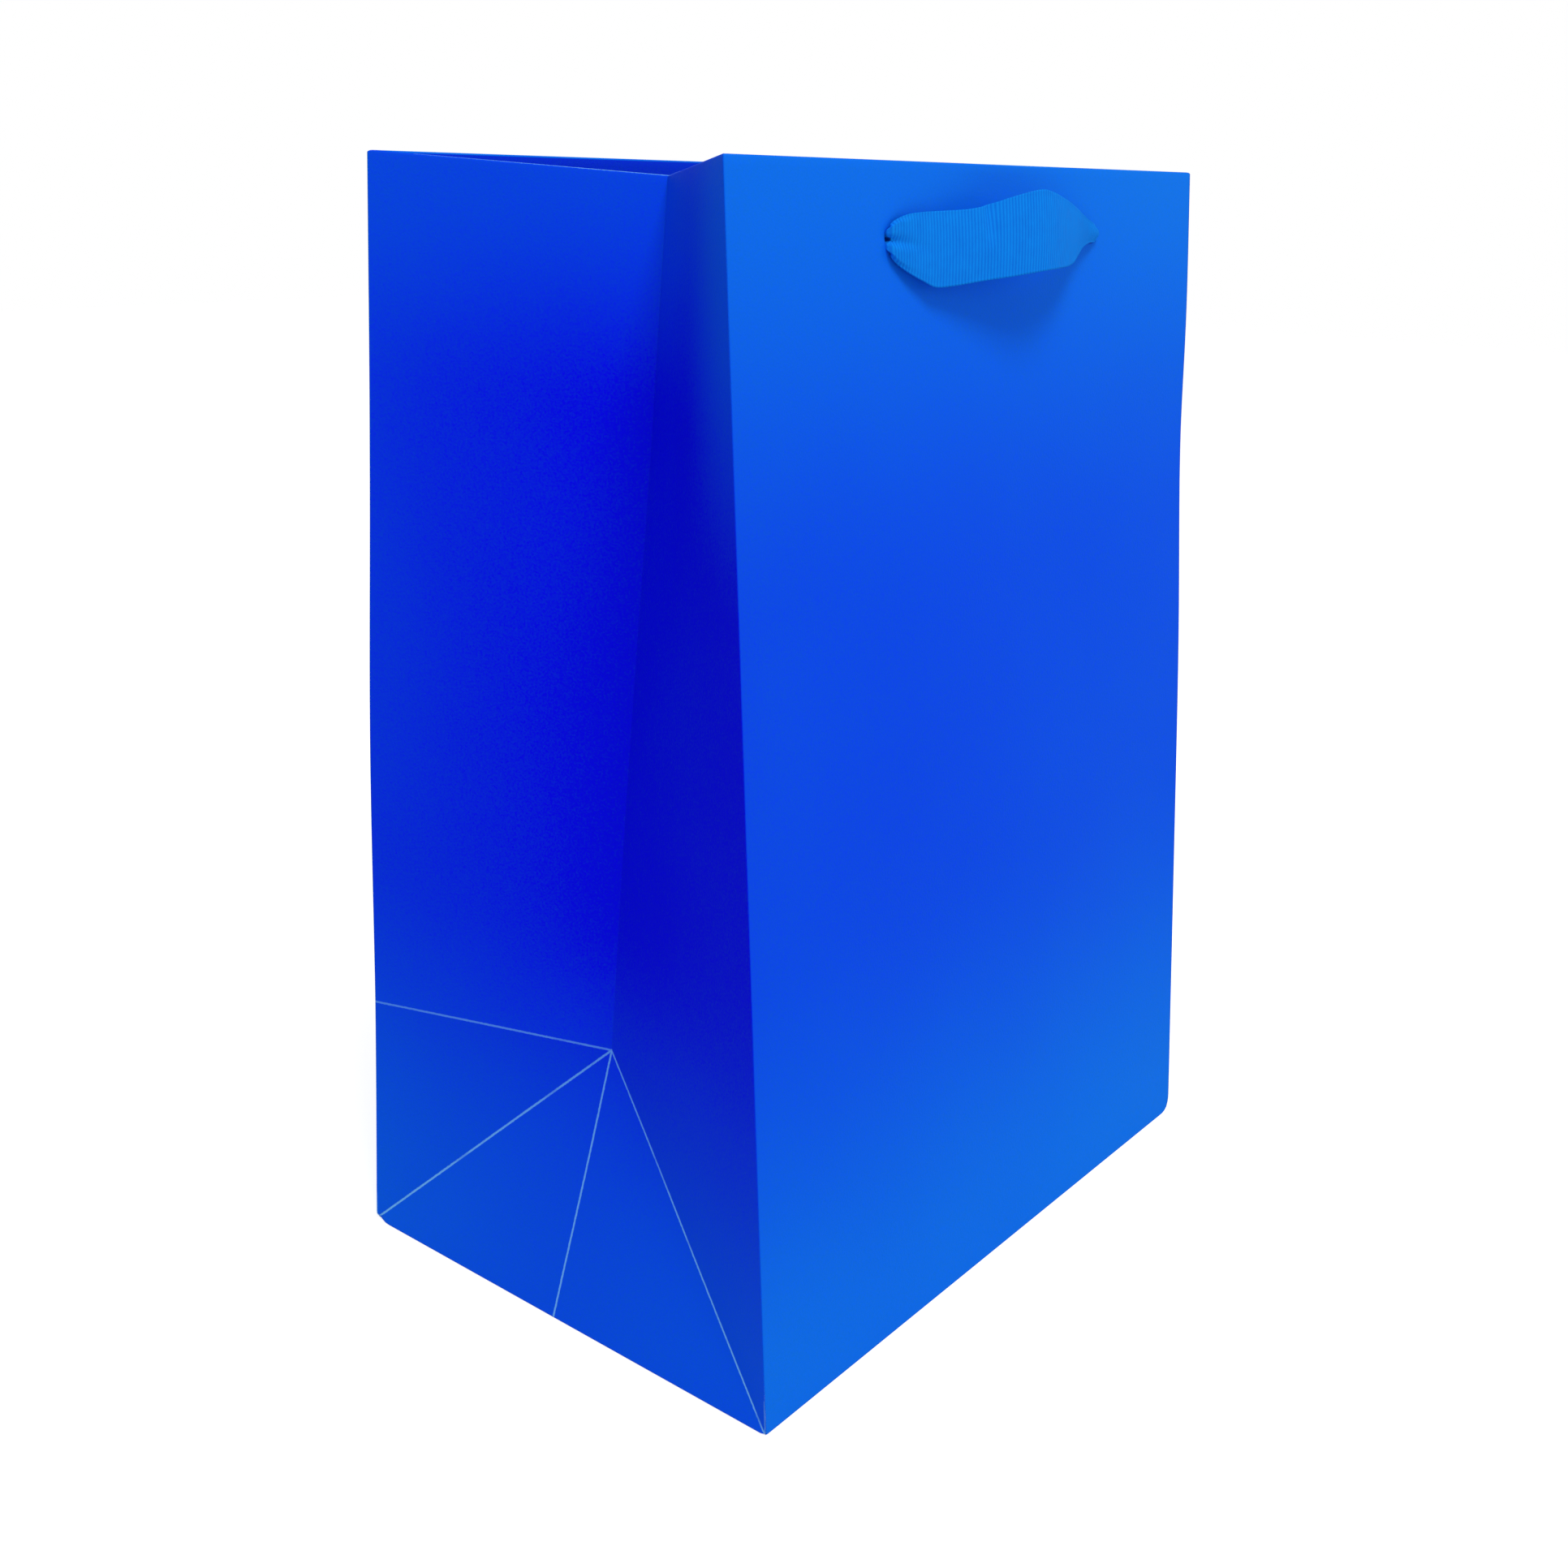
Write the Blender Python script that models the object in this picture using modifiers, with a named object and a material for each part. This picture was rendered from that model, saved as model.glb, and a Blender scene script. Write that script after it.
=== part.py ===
"""A paper gift bag with folded-in side gussets, a card-stiffened hem and two ribbon handles.

Run it with blender --background --python part.py, or from Blender's text editor. Lengths are in
metres and +Z is up. The bag stands on its base round the origin, and its front faces -Y.
"""

import math

import bmesh
import bpy
import numpy as np
from mathutils import Vector

# The sheet, flat: two panels, two gussets and the thickness of the laminated paper.
PANEL_WIDTH = 0.247
GUSSET_WIDTH = 0.171
PANEL_HEIGHT = 0.350
PAPER = 0.0003

# How the open bag stands: how far its folds lie inside the box that its base would carry.
FRONT_LEAN = 0.0212
BACK_LEAN = 0.0171
GUSSET_TUCK = 0.0267
BACK_CREASE_HEIGHT = 0.082
BACK_CREASE_INSET = 0.0046

# The base: two glued flaps below the sheet, and a loose board above it.
FLAP_LAP = 0.014
FLAP_INSET = 0.0006
FLAP_SEAM = 0.0005
BOARD_THICKNESS = 0.001
BOARD_PLAY = 0.002

# The glue lap of the side seam, inside the back panel.
LAP_WIDTH = 0.016
LAP_INSET = 0.0012

# The hem and the card that it holds.
HEM_DEPTH = 0.038
CARD_THICKNESS = 0.0005
CARD_SIDE_PLAY = 0.004
CARD_EDGE_PLAY = 0.0006

# The punched holes and the ribbon that is drawn through them.
HOLE_SPACING = 0.114
HOLE_DROP = 0.0205
HOLE_RADIUS = 0.003
HOLE_SIDES = 32
RIBBON_WIDTH = 0.022
RIBBON_THICKNESS = 0.0005

# The ribbon's bow off the panel, and the length over which it is gathered into a hole.
BOW_HEIGHT = 0.0145
BOW_SHIFT = 0.004
BOW_SWAY = 0.0025
BOW_REACH = 0.0055
LEFT_SHOULDER = 0.013
RIGHT_SHOULDER = 0.010
GATHER_LENGTH = 0.024
PLEAT_DEPTH = 0.0014
BUNDLE_THICKNESS = 0.0026

# The knot behind each hole, and the ribbon's free end below it.
KNOT_RADIUS = 0.0048
KNOT_DEPTH = 0.0040
TAIL_LENGTH = 0.026
TAIL_WIDTH = 0.016

# Clearance between pieces that touch, and how far fused layers reach into each other.
GAP = 0.0003
FUSE = PAPER / 2

# Points round a ribbon's section, and sections along each stretch of it.
SECTION_POINTS = 16
BOW_SECTIONS = 15
HOLE_SECTIONS = 3
TAIL_SECTIONS = 6
SHARP_ANGLE = 50.0

BAG_BLUE = (0.004, 0.085, 0.78)
RIBBON_BLUE = (0.004, 0.15, 0.82)
CARD_WHITE = (0.80, 0.79, 0.76)
BOARD_GREY = (0.55, 0.53, 0.49)

PANEL_HEM_OFFSET = 2 * PAPER + 2 * GAP + CARD_THICKNESS
GUSSET_HEM_OFFSET = 2 * PAPER + GAP
BUNDLE_WIDTH = 2 * (HOLE_RADIUS - 2 * GAP)


def clear_scene():
    for obj in list(bpy.data.objects):
        bpy.data.objects.remove(obj, do_unlink=True)


def new_collection(name):
    collection = bpy.data.collections.new(name)
    bpy.context.scene.collection.children.link(collection)
    return collection


def new_material(name, colour, roughness):
    material = bpy.data.materials.new(name)
    material.use_nodes = True
    shader = material.node_tree.nodes["Principled BSDF"]
    shader.inputs["Base Color"].default_value = (*colour, 1.0)
    shader.inputs["Roughness"].default_value = roughness
    shader.inputs["Metallic"].default_value = 0.0
    return material


def add_object(name, mesh, collection, parent=None, location=(0.0, 0.0, 0.0)):
    obj = bpy.data.objects.new(name, mesh)
    collection.objects.link(obj)
    obj.parent = parent
    obj.location = location
    return obj


def mesh_from(name, points, faces):
    mesh = bpy.data.meshes.new(name)
    mesh.from_pydata([tuple(point) for point in points], [], faces)
    mesh.update()
    return mesh


def shaded_smooth(mesh):
    """Smooth shading, with the edges of flat ends left sharp."""
    mesh.shade_smooth()
    mesh.set_sharp_from_angle(angle=math.radians(SHARP_ANGLE))
    return mesh


def cuboid(name, size):
    """A box about its own centre, from a cube of side 1 scaled in its mesh."""
    mesh = bpy.data.meshes.new(name)
    shape = bmesh.new()
    bmesh.ops.create_cube(shape, size=1.0)
    bmesh.ops.scale(shape, vec=size, verts=shape.verts)
    shape.to_mesh(mesh)
    shape.free()
    return mesh


def add_solidify(obj, thickness):
    """Thickens an open surface on its back, which leaves its face where it is."""
    modifier = obj.modifiers.new("Thickness", "SOLIDIFY")
    modifier.thickness = thickness
    modifier.offset = -1.0
    modifier.use_even_offset = True
    modifier.use_quality_normals = True


def add_boolean(obj, operation, helper):
    modifier = obj.modifiers.new(helper.name, "BOOLEAN")
    modifier.operation = operation
    modifier.solver = "EXACT"
    modifier.object = helper
    helper.hide_render = True
    helper.display_type = "WIRE"


def meeting_point(centres, radii, towards):
    """The point at these distances from three points, on the side of their plane that towards names."""
    along = (centres[1] - centres[0]).normalized()
    third = centres[2] - centres[0]
    across = (third - along * along.dot(third)).normalized()
    span = (centres[1] - centres[0]).length
    reach = along.dot(third)
    height = across.dot(third)
    x = (radii[0] ** 2 - radii[1] ** 2 + span**2) / (2 * span)
    y = (radii[0] ** 2 - radii[2] ** 2 + reach**2 + height**2 - 2 * reach * x) / (2 * height)
    out = along.cross(across)
    rise = math.sqrt(max(radii[0] ** 2 - x**2 - y**2, 0.0))
    return centres[0] + along * x + across * y + out * math.copysign(rise, out.dot(towards))


def folded_corners():
    """Where the folds of the bag's left half meet, on the printed face of a sheet that doesn't stretch."""
    side = -PANEL_WIDTH / 2
    half_gusset = GUSSET_WIDTH / 2
    upper_height = PANEL_HEIGHT - BACK_CREASE_HEIGHT
    front_rise = math.sqrt(PANEL_HEIGHT**2 - FRONT_LEAN**2)
    tuck_rise = math.sqrt(half_gusset**2 - GUSSET_TUCK**2)
    crease_rise = math.sqrt(BACK_CREASE_HEIGHT**2 - BACK_CREASE_INSET**2)
    back_rise = crease_rise + math.sqrt(upper_height**2 - (BACK_LEAN - BACK_CREASE_INSET) ** 2)
    corners = {
        "base_front": Vector((side, -half_gusset, PAPER)),
        "base_middle": Vector((side, 0.0, PAPER)),
        "base_back": Vector((side, half_gusset, PAPER)),
        "junction": Vector((side + GUSSET_TUCK, 0.0, PAPER + tuck_rise)),
        "back_crease": Vector((side, half_gusset - BACK_CREASE_INSET, PAPER + crease_rise)),
        "top_front": Vector((side, FRONT_LEAN - half_gusset, PAPER + front_rise)),
        "top_back": Vector((side, half_gusset - BACK_LEAN, PAPER + back_rise)),
    }
    corners["top_middle"] = meeting_point(
        (corners["top_front"], corners["top_back"], corners["junction"]),
        (half_gusset, half_gusset, PANEL_HEIGHT - half_gusset),
        Vector((0.0, 0.0, 1.0)),
    )
    return corners


def in_centre_plane(point):
    return Vector((0.0, point.y, point.z))


def inset_ring(ring, distances):
    """A ring of points with each straight run between them moved into the bag by its own distance.

    The ring runs from the front's middle by the left to the back's, so the bag's inside is on its right.
    A corner goes to where its two moved runs cross.
    """
    flat = np.array([point[:2] for point in ring])
    runs = np.diff(flat, axis=0)
    runs /= np.linalg.norm(runs, axis=1)[:, None]
    inwards = np.stack([runs[:, 1], -runs[:, 0]], axis=1)
    shifts = [inwards[0] * distances[0]]
    for index in range(1, len(runs)):
        shifts.append(np.linalg.solve(inwards[index - 1 : index + 1], distances[index - 1 : index + 1]))
    shifts.append(inwards[-1] * distances[-1])
    return [Vector((*(point[:2] + shift), point[2])) for point, shift in zip(np.array(ring), shifts)]


def printed_face(corners):
    """The left half of the sheet's printed face: base, walls, top fold and turned-in hem."""
    feet = [corners[name] for name in ("base_front", "base_front", "junction", "back_crease", "back_crease")]
    tops = [corners[name] for name in ("top_front", "top_front", "top_middle", "top_back", "top_back")]
    for row in (feet, tops):
        row[0] = in_centre_plane(row[0])
        row[-1] = in_centre_plane(row[-1])
    hem_ring = [top + (foot - top).normalized() * HEM_DEPTH for foot, top in zip(feet, tops)]
    offsets = (PANEL_HEM_OFFSET, GUSSET_HEM_OFFSET, GUSSET_HEM_OFFSET, PANEL_HEM_OFFSET)
    points = [feet[0]]
    points += [corners[name] for name in ("base_front", "base_middle", "base_back")]
    points += [in_centre_plane(corners["base_back"]), corners["junction"]]
    points += [corners["back_crease"], in_centre_plane(corners["back_crease"])]
    front_middle, front, middle, back, back_middle, junction, crease, crease_middle = range(len(points))
    hem, top, inner_top, inner_hem = range(len(points), len(points) + 4 * len(tops), len(tops))
    for ring in (hem_ring, tops, inset_ring(tops, offsets), inset_ring(hem_ring, offsets)):
        points += ring
    faces = [
        (front_middle, front, middle, back, back_middle),
        (front_middle, hem, hem + 1, front),
        (front, junction, middle),
        (front, hem + 1, hem + 2, junction),
        (middle, junction, back),
        (junction, crease, back),
        (junction, hem + 2, hem + 3, crease),
        (back, crease, crease_middle, back_middle),
        (crease, hem + 3, hem + 4, crease_middle),
    ]
    for low, high in ((hem, top), (top, inner_top), (inner_top, inner_hem)):
        faces += [(low + i, high + i, high + i + 1, low + i + 1) for i in range(len(offsets))]
    return points, faces


def panel_frame(name, foot, top, turn, collection):
    """An empty at the middle of a panel's top fold, with X along it, Y into the bag and Z up the panel."""
    frame = bpy.data.objects.new(name, None)
    collection.objects.link(frame)
    frame.location = in_centre_plane(top)
    frame.rotation_euler = (-math.atan2(abs(foot.y - top.y), top.z - foot.z), 0.0, turn)
    return frame


def hole_cutters(name, frame, collection):
    """The two punches of a panel, which go through its wall, its card and its hem."""
    length = 2 * PANEL_HEM_OFFSET
    cutters = []
    for side, sign in (("left", -1), ("right", 1)):
        mesh = bpy.data.meshes.new(f"{name}_{side}_punch")
        shape = bmesh.new()
        bmesh.ops.create_cone(
            shape, cap_ends=True, segments=HOLE_SIDES, radius1=HOLE_RADIUS, radius2=HOLE_RADIUS, depth=length
        )
        for vertex in shape.verts:
            vertex.co = (vertex.co.x, -vertex.co.z, vertex.co.y)
        shape.to_mesh(mesh)
        shape.free()
        place = (sign * HOLE_SPACING / 2, PANEL_HEM_OFFSET / 2, -HOLE_DROP)
        cutters.append(add_object(mesh.name, mesh, collection, frame, place))
    return cutters


def base_flap(name, outer, free, collection):
    """A glued base flap from its fold at y = outer to y = free, with its ends mitred at 45 degrees."""
    wide = PANEL_WIDTH / 2 - FLAP_INSET
    narrow = wide - abs(free - outer)
    points = [(-wide, outer, 0.0), (wide, outer, 0.0), (narrow, free, 0.0), (-narrow, free, 0.0)]
    # The face looks down, so that its thickness goes up into the sheet.
    face = (0, 1, 2, 3) if outer > free else (3, 2, 1, 0)
    flap = add_object(name, mesh_from(name, points, [face]), collection)
    add_solidify(flap, PAPER + FUSE)
    return flap


def glue_lap(name, corners, collection):
    """The strip that joins the sheet's two ends, against the back panel's inside on its right edge."""
    outer = PANEL_WIDTH / 2 - LAP_INSET
    crease, top = corners["back_crease"], corners["top_back"]
    end = top + (crease - top).normalized() * (HEM_DEPTH + GAP)
    points = []
    for place in (corners["base_back"], crease, end):
        points += [(outer - LAP_WIDTH, place.y - FUSE, place.z), (outer, place.y - FUSE, place.z)]
    lap = add_object(name, mesh_from(name, points, [(1, 0, 2, 3), (3, 2, 4, 5)]), collection)
    add_solidify(lap, PAPER + FUSE)
    return lap


def build_body(corners, punches, parts, cutters, material):
    """The folded and glued sheet, with the handles' holes punched through it."""
    body = add_object("bag_body", mesh_from("bag_body", *printed_face(corners)), parts)
    body.data.materials.append(material)
    mirror = body.modifiers.new("Other half", "MIRROR")
    mirror.use_axis = (True, False, False)
    mirror.use_mirror_merge = True
    mirror.merge_threshold = 0.00001
    add_solidify(body, PAPER)
    half_gusset = GUSSET_WIDTH / 2 - FLAP_INSET
    add_boolean(body, "UNION", base_flap("front_flap", -half_gusset, -FLAP_LAP - FLAP_SEAM, cutters))
    add_boolean(body, "UNION", base_flap("back_flap", half_gusset, -FLAP_LAP, cutters))
    add_boolean(body, "UNION", glue_lap("glue_lap", corners, cutters))
    for punch in punches:
        add_boolean(body, "DIFFERENCE", punch)


def build_base_board(parts, material):
    """The loose card that keeps the base flat."""
    play = 2 * (PAPER + BOARD_PLAY)
    mesh = cuboid("base_board", (PANEL_WIDTH - play, GUSSET_WIDTH - play, BOARD_THICKNESS))
    height = 2 * PAPER + GAP + BOARD_THICKNESS / 2
    add_object("base_board", mesh, parts, location=(0.0, 0.0, height)).data.materials.append(material)


def build_hem_card(name, frame, punches, parts, material):
    """The card strip between a panel and its hem, which the ribbon pulls on."""
    height = HEM_DEPTH - PAPER - 2 * CARD_EDGE_PLAY
    mesh = cuboid(name, (PANEL_WIDTH - 2 * CARD_SIDE_PLAY, CARD_THICKNESS, height))
    place = (0.0, PAPER + GAP + CARD_THICKNESS / 2, -PAPER - CARD_EDGE_PLAY - height / 2)
    card = add_object(name, mesh, parts, frame, place)
    card.data.materials.append(material)
    for punch in punches:
        add_boolean(card, "DIFFERENCE", punch)


def smooth(value):
    """Goes from 0 to 1 with flat ends as value does."""
    value = np.clip(value, 0.0, 1.0)
    return value * value * (3.0 - 2.0 * value)


def loft(name, centres, across, half_widths, half_thicknesses, pleats):
    """A closed strip along its centre points, with a rounded oblong section at each.

    A section lies square to the path, with its width as near to across as that allows. A pleat presses
    the middle of the section towards the bag, and leaves its edges where they are.
    """
    path = np.gradient(centres, axis=0)
    path /= np.linalg.norm(path, axis=1)[:, None]
    width_axis = across - path * (path @ across)[:, None]
    width_axis /= np.linalg.norm(width_axis, axis=1)[:, None]
    thick_axis = np.cross(path, width_axis)
    turn = np.linspace(0.0, 2 * math.pi, SECTION_POINTS, endpoint=False)
    # An oval where the strip is bunched, squarer where it is flat.
    power = 0.4 + 0.6 * (half_thicknesses / half_widths)[:, None]
    x = np.sign(np.cos(turn)) * np.abs(np.cos(turn)) ** power
    y = np.sign(np.sin(turn)) * np.abs(np.sin(turn)) ** power * half_thicknesses[:, None]
    y = y - pleats[:, None] * (1.0 - np.abs(x))
    points = centres[:, None, :] + width_axis[:, None, :] * (x * half_widths[:, None])[..., None]
    points = (points + thick_axis[:, None, :] * y[..., None]).reshape(-1, 3)
    rings = np.arange(len(points)).reshape(len(centres), SECTION_POINTS)
    faces = [tuple(rings[0][::-1]), tuple(rings[-1])]
    for ring, following in zip(rings, rings[1:]):
        faces += zip(ring, np.roll(ring, -1), np.roll(following, -1), following)
    return shaded_smooth(mesh_from(name, points, [tuple(map(int, face)) for face in faces]))


def bow_half(sign, shoulder):
    """Half of the ribbon's path off the panel, from a hole to the bow's crest, as x and distance out.

    It is a cubic Bezier curve: it leaves the hole square to the panel and comes up to the crest past a
    shoulder half-way along.
    """
    start = sign * HOLE_SPACING / 2
    halfway = (start + BOW_SHIFT) / 2
    ends = np.array([(start, 0.0), (start, BOW_REACH), (halfway, shoulder), (BOW_SHIFT, BOW_HEIGHT)])
    t = np.linspace(0.0, 1.0, BOW_SECTIONS)[:, None]
    weights = np.hstack([(1 - t) ** 3, 3 * (1 - t) ** 2 * t, 3 * (1 - t) * t**2, t**3])
    return weights @ ends


def strand_mesh(name):
    """The ribbon from knot to knot: through a hole, along the bow and back through the other hole."""
    knot = PANEL_HEM_OFFSET + GAP + KNOT_DEPTH
    inside = np.linspace(-knot, 0.0, HOLE_SECTIONS, endpoint=False)
    left = np.stack([np.full(HOLE_SECTIONS, -HOLE_SPACING / 2), inside], axis=1)
    right = left[::-1] * (-1.0, 1.0)
    flat = np.vstack([left, bow_half(-1, LEFT_SHOULDER)[:-1], bow_half(1, RIGHT_SHOULDER)[::-1], right])
    sway = BOW_SWAY * np.sin(2 * math.pi * flat[:, 0] / HOLE_SPACING)
    centres = np.stack([flat[:, 0], -flat[:, 1], sway - HOLE_DROP], axis=1)
    steps = np.linalg.norm(np.diff(flat, axis=0), axis=1)
    along = np.concatenate([[0.0], np.cumsum(steps)])
    from_hole = np.minimum(along, along[-1] - along) - knot
    spread = smooth(from_hole / GATHER_LENGTH)
    half_widths = (BUNDLE_WIDTH + (RIBBON_WIDTH - BUNDLE_WIDTH) * spread) / 2
    half_thicknesses = (RIBBON_THICKNESS + (BUNDLE_THICKNESS - RIBBON_THICKNESS) * (1 - spread) ** 2) / 2
    pleats = PLEAT_DEPTH * 4 * spread * (1 - spread)
    return loft(name, centres, np.array([0.0, 0.0, 1.0]), half_widths, half_thicknesses, pleats)


def tail_mesh(name):
    """The free end of the ribbon, which hangs from a knot at the mesh's origin and opens out below it."""
    drop = np.linspace(0.0, 1.0, TAIL_SECTIONS)
    centres = drop[:, None] * (0.0, 0.0, -TAIL_LENGTH)
    half_widths = (BUNDLE_WIDTH + (TAIL_WIDTH - BUNDLE_WIDTH) * smooth(drop)) / 2
    half_thicknesses = (RIBBON_THICKNESS + (BUNDLE_THICKNESS - RIBBON_THICKNESS) * (1 - drop)) / 2
    return loft(name, centres, np.array([1.0, 0.0, 0.0]), half_widths, half_thicknesses, 0.0 * drop)


def knot_mesh(name):
    """A knot as a ball, flattened against the hem."""
    mesh = bpy.data.meshes.new(name)
    shape = bmesh.new()
    rings = SECTION_POINTS // 2
    bmesh.ops.create_uvsphere(shape, u_segments=SECTION_POINTS, v_segments=rings, radius=KNOT_RADIUS)
    bmesh.ops.scale(shape, vec=(1.0, KNOT_DEPTH / KNOT_RADIUS, 1.0), verts=shape.verts)
    shape.to_mesh(mesh)
    shape.free()
    return shaded_smooth(mesh)


def build_ribbon(name, frame, parts, cutters, material):
    """A ribbon handle: the strand, and the knot and free end behind each hole."""
    ribbon = add_object(name, strand_mesh(name), parts, frame)
    ribbon.data.materials.append(material)
    for side, sign in (("left", -1), ("right", 1)):
        place = (sign * HOLE_SPACING / 2, PANEL_HEM_OFFSET + GAP + KNOT_DEPTH, -HOLE_DROP)
        for piece, make in (("knot", knot_mesh), ("tail", tail_mesh)):
            helper = f"{name}_{side}_{piece}"
            add_boolean(ribbon, "UNION", add_object(helper, make(helper), cutters, frame, place))


def main():
    clear_scene()
    parts = new_collection("paper_gift_bag")
    cutters = new_collection("cutters")
    blue_paper = new_material("blue_paper", BAG_BLUE, 0.45)
    blue_ribbon = new_material("blue_ribbon", RIBBON_BLUE, 0.6)
    white_card = new_material("white_card", CARD_WHITE, 0.8)
    grey_board = new_material("grey_board", BOARD_GREY, 0.85)
    corners = folded_corners()
    front = panel_frame("front_panel", corners["base_front"], corners["top_front"], 0.0, parts)
    back = panel_frame("back_panel", corners["back_crease"], corners["top_back"], math.pi, parts)
    front_punches = hole_cutters("front", front, cutters)
    back_punches = hole_cutters("back", back, cutters)
    build_body(corners, front_punches + back_punches, parts, cutters, blue_paper)
    build_base_board(parts, grey_board)
    build_hem_card("front_hem_card", front, front_punches, parts, white_card)
    build_hem_card("back_hem_card", back, back_punches, parts, white_card)
    build_ribbon("front_ribbon", front, parts, cutters, blue_ribbon)
    build_ribbon("back_ribbon", back, parts, cutters, blue_ribbon)


main()
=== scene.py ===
"""The looks of a blue paper gift bag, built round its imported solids."""

import math

import bpy
import numpy as np
from mathutils import Matrix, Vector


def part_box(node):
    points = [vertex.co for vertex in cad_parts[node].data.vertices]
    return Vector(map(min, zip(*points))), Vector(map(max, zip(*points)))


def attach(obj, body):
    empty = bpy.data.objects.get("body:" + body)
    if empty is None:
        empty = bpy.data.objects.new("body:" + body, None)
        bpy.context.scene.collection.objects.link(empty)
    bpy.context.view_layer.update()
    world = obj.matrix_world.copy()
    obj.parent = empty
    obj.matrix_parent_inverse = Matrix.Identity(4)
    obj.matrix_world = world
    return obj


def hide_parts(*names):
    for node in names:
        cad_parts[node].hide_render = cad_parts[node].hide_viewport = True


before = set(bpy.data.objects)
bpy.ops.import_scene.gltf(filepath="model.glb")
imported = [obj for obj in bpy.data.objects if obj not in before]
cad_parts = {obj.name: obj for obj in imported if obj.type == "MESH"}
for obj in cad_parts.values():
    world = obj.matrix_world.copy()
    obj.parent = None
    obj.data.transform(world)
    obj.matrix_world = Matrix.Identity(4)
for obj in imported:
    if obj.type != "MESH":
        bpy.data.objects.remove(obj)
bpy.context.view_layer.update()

# Camera
# The photograph was taken at the height of the bag's mouth, with the left gusset and the front in view.
# The camera is placed by the bag's corners, and looks down a little so that little shift is needed.
CAMERA_PLACE = (-0.4631, -0.3551, 0.3425)
CAMERA_YAW, CAMERA_PITCH, CAMERA_ROLL = np.radians((51.65, 15.25, 1.21))
PHOTO_SIDE_PX = 1932
FOCAL_LENGTH_PX = 2208.3
SENSOR_WIDTH_MM = 36.0
CAMERA_RISE = -0.07

ahead = np.array(
    (
        math.sin(CAMERA_YAW) * math.cos(CAMERA_PITCH),
        math.cos(CAMERA_YAW) * math.cos(CAMERA_PITCH),
        -math.sin(CAMERA_PITCH),
    )
)
level_right = np.array((math.cos(CAMERA_YAW), -math.sin(CAMERA_YAW), 0.0))
level_up = np.cross(level_right, ahead)
rolled_right = math.cos(CAMERA_ROLL) * level_right + math.sin(CAMERA_ROLL) * level_up
rolled_up = math.cos(CAMERA_ROLL) * level_up - math.sin(CAMERA_ROLL) * level_right
camera_data = bpy.data.cameras.new("photo_camera")
camera_data.sensor_width = SENSOR_WIDTH_MM
camera_data.lens = SENSOR_WIDTH_MM * FOCAL_LENGTH_PX / PHOTO_SIDE_PX
camera_data.shift_y = CAMERA_RISE
camera_data.clip_start = 0.01
camera = bpy.data.objects.new("photo_camera", camera_data)
bpy.context.scene.collection.objects.link(camera)
turned = np.eye(4)
turned[:3, :3] = np.stack([rolled_right, rolled_up, -ahead], axis=1)
turned[:3, 3] = CAMERA_PLACE
camera.matrix_world = Matrix(turned.tolist())
bpy.context.scene.camera = camera


# Folded sheet
# The real bag is one sheet of heavy paper with a matt laminate over its blue print and a plain white back.
# It is creased, folded round, glued at one back edge, and its top is turned in over a card as a hem.
body_low, body_high = (np.array(corner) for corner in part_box("bag_body"))
PANEL_WIDTH = body_high[0] - body_low[0]
GUSSET_WIDTH = body_high[1] - body_low[1]
HALF_GUSSET = GUSSET_WIDTH / 2
PANEL_HEIGHT = 0.350
PAPER = 0.0003
FRONT_LEAN = 0.0212
BACK_LEAN = 0.0171
GUSSET_TUCK = 0.0267
BACK_CREASE_HEIGHT = 0.082
BACK_CREASE_INSET = 0.0046
HEM_DEPTH = 0.038
PANEL_HEM_OFFSET = 0.0017
GUSSET_HEM_OFFSET = 0.0009
TOP_FOLD_RISE = 0.0006
TOP_FOLD_WIDTH = 0.002
HOLE_SPACING = 0.1100
HOLE_DROP = 0.0204
HOLE_RADIUS = 0.0024
HEM_HOLE_SHIFT = 0.0020
HOLE_BLOCK = 0.005
HOLE_BLOCK_CELLS = 8


def meeting_point(centres, radii):
    """The upper one of the two points at these distances from three points: three spheres that cross."""
    along = centres[1] - centres[0]
    span = np.linalg.norm(along)
    along = along / span
    third = centres[2] - centres[0]
    reach = along @ third
    across = third - reach * along
    height = np.linalg.norm(across)
    across = across / height
    x = (radii[0] ** 2 - radii[1] ** 2 + span**2) / (2 * span)
    y = (radii[0] ** 2 - radii[2] ** 2 + reach**2 + height**2 - 2 * reach * x) / (2 * height)
    out = np.cross(along, across)
    out = out * np.sign(out[2]) * math.sqrt(radii[0] ** 2 - x**2 - y**2)
    return centres[0] + along * x + across * y + out


side = -PANEL_WIDTH / 2
front_rise = math.sqrt(PANEL_HEIGHT**2 - FRONT_LEAN**2)
crease_rise = math.sqrt(BACK_CREASE_HEIGHT**2 - BACK_CREASE_INSET**2)
back_above = PANEL_HEIGHT - BACK_CREASE_HEIGHT
back_rise = crease_rise + math.sqrt(back_above**2 - (BACK_LEAN - BACK_CREASE_INSET) ** 2)
base_front = np.array([side, -HALF_GUSSET, PAPER])
base_middle = np.array([side, 0.0, PAPER])
base_back = np.array([side, HALF_GUSSET, PAPER])
junction = np.array([side + GUSSET_TUCK, 0.0, PAPER + math.sqrt(HALF_GUSSET**2 - GUSSET_TUCK**2)])
back_crease = np.array([side, HALF_GUSSET - BACK_CREASE_INSET, PAPER + crease_rise])
top_front = np.array([side, FRONT_LEAN - HALF_GUSSET, PAPER + front_rise])
top_back = np.array([side, HALF_GUSSET - BACK_LEAN, PAPER + back_rise])
top_middle = meeting_point(
    (top_front, top_back, junction), (HALF_GUSSET, HALF_GUSSET, PANEL_HEIGHT - HALF_GUSSET)
)


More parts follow.
